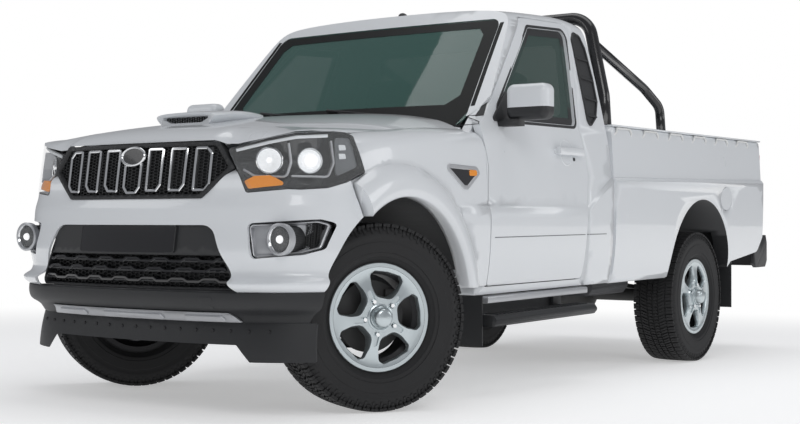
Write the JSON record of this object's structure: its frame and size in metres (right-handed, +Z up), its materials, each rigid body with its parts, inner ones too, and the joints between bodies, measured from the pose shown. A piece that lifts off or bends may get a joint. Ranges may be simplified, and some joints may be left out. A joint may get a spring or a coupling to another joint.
{
  "type": "pickup truck",
  "caption": "Single cab pickup truck with opening doors, bonnet and tailgate, steered front wheels, load tub, sports bar and side steps.",
  "frame": {"origin": "on the ground, midway between the nose and the rear bumper", "axes": "faces -Y, +X is the truck's left side, +Z up"},
  "size_m": [2.16, 5.1713, 1.9292],
  "materials": {
    "white_paint": "gloss",
    "black_paint": "satin",
    "window_glass": "clear",
    "lamp_glass": "clear",
    "red_lens": "gloss",
    "black_plastic": "textured",
    "silver_plastic": "satin",
    "tyre_rubber": "matte",
    "alloy": "satin",
    "black_steel": "painted",
    "cast_steel": "matte",
    "seat_fabric": "woven",
    "white_rope": "satin"
  },
  "bodies": {
    "body": {"cab_shell": "white_paint", "cab_glass": "window_glass", "fender_left": "white_paint", "fender_right": "white_paint", "arch_liners": "black_plastic", "front_bumper": "white_paint", "grille": "black_plastic", "lower_grille": "black_plastic", "lower_bumper": "black_plastic", "skid_garnish": "silver_plastic", "valance": "black_plastic", "headlamps": "lamp_glass", "fog_lamps": "lamp_glass", "radiator_panel": "black_steel", "load_tub": "white_paint", "tail_lamps": "red_lens", "rear_bumper": "black_steel", "chassis_frame": "black_steel", "rear_axle": "cast_steel", "engine_block": "cast_steel", "driveline": "cast_steel", "exhaust": "black_steel", "fuel_tank": "black_plastic", "front_suspension": "cast_steel", "sports_bar": "black_paint", "rope_rails": "white_rope", "side_steps": "black_plastic", "mudflaps": "black_plastic", "pillar_louvres": "black_plastic", "seats": "seat_fabric", "dashboard": "black_plastic"},
    "door_left_body": {"door_left": "white_paint", "door_glass_left": "window_glass", "mirror_left": "black_plastic"},
    "door_right_body": {"door_right": "white_paint", "door_glass_right": "window_glass", "mirror_right": "black_plastic"},
    "bonnet_body": {"bonnet": "white_paint"},
    "tailgate_body": {"tailgate": "white_paint"},
    "fuel_flap_body": {"fuel_flap": "white_paint"},
    "steering_left": {"knuckle_left": "cast_steel"},
    "steering_right": {"knuckle_right": "cast_steel"},
    "front_left_wheel": {"tyre_front_left": "tyre_rubber", "wheel_front_left": "alloy"},
    "front_right_wheel": {"tyre_front_right": "tyre_rubber", "wheel_front_right": "alloy"},
    "rear_left_wheel": {"tyre_rear_left": "tyre_rubber", "wheel_rear_left": "alloy"},
    "rear_right_wheel": {"tyre_rear_right": "tyre_rubber", "wheel_rear_right": "alloy"}
  },
  "joints": [
    {"name": "door_left_hinge", "type": "hinge", "parent": "body", "child": "door_left_body", "pos_m": [0.881, -1.18698, 0.91607], "axis": [0, 0.0244, -0.9997], "range_deg": [0, 65]},
    {"name": "door_right_hinge", "type": "hinge", "parent": "body", "child": "door_right_body", "pos_m": [-0.881, -1.18698, 0.91607], "axis": [0, -0.0244, 0.9997], "range_deg": [0, 65]},
    {"name": "bonnet_hinge", "type": "hinge", "parent": "body", "child": "bonnet_body", "pos_m": [0, -1.14332, 1.21722], "axis": [-1, 0, 0], "range_deg": [0, 45]},
    {"name": "tailgate_hinge", "type": "hinge", "parent": "body", "child": "tailgate_body", "pos_m": [0, 2.27958, 0.81273], "axis": [-1, 0, 0], "range_deg": [0, 90]},
    {"name": "fuel_flap_hinge", "type": "hinge", "parent": "body", "child": "fuel_flap_body", "pos_m": [0.884, 1.56909, 0.96742], "axis": [0, 0.0244, -0.9997], "range_deg": [0, 100]},
    {"name": "steer_left", "type": "hinge", "parent": "body", "child": "steering_left", "pos_m": [0.64, -1.838, 0.383], "axis": [0, 0, 1], "range_deg": [0, 66]},
    {"name": "steer_right", "type": "hinge", "parent": "body", "child": "steering_right", "pos_m": [-0.64, -1.838, 0.383], "axis": [0, 0, 1], "range_deg": [0, 66]},
    {"name": "spin_front_left", "type": "hinge", "parent": "steering_left", "child": "front_left_wheel", "pos_m": [0.70928, -1.878, 0.383], "axis": [0.866, -0.5, 0], "continuous": true},
    {"name": "spin_front_right", "type": "hinge", "parent": "steering_right", "child": "front_right_wheel", "pos_m": [-0.70472, -1.79098, 0.383], "axis": [0.809, -0.5878, 0], "continuous": true},
    {"name": "spin_rear_left", "type": "hinge", "parent": "body", "child": "rear_left_wheel", "pos_m": [0.72, 1.312, 0.383], "axis": [1, 0, 0], "continuous": true},
    {"name": "spin_rear_right", "type": "hinge", "parent": "body", "child": "rear_right_wheel", "pos_m": [-0.72, 1.312, 0.383], "axis": [1, 0, 0], "continuous": true}
  ],
  "couplings": [
    {"joint": "steer_right", "follows": "steer_left", "ratio": 1}
  ]
}
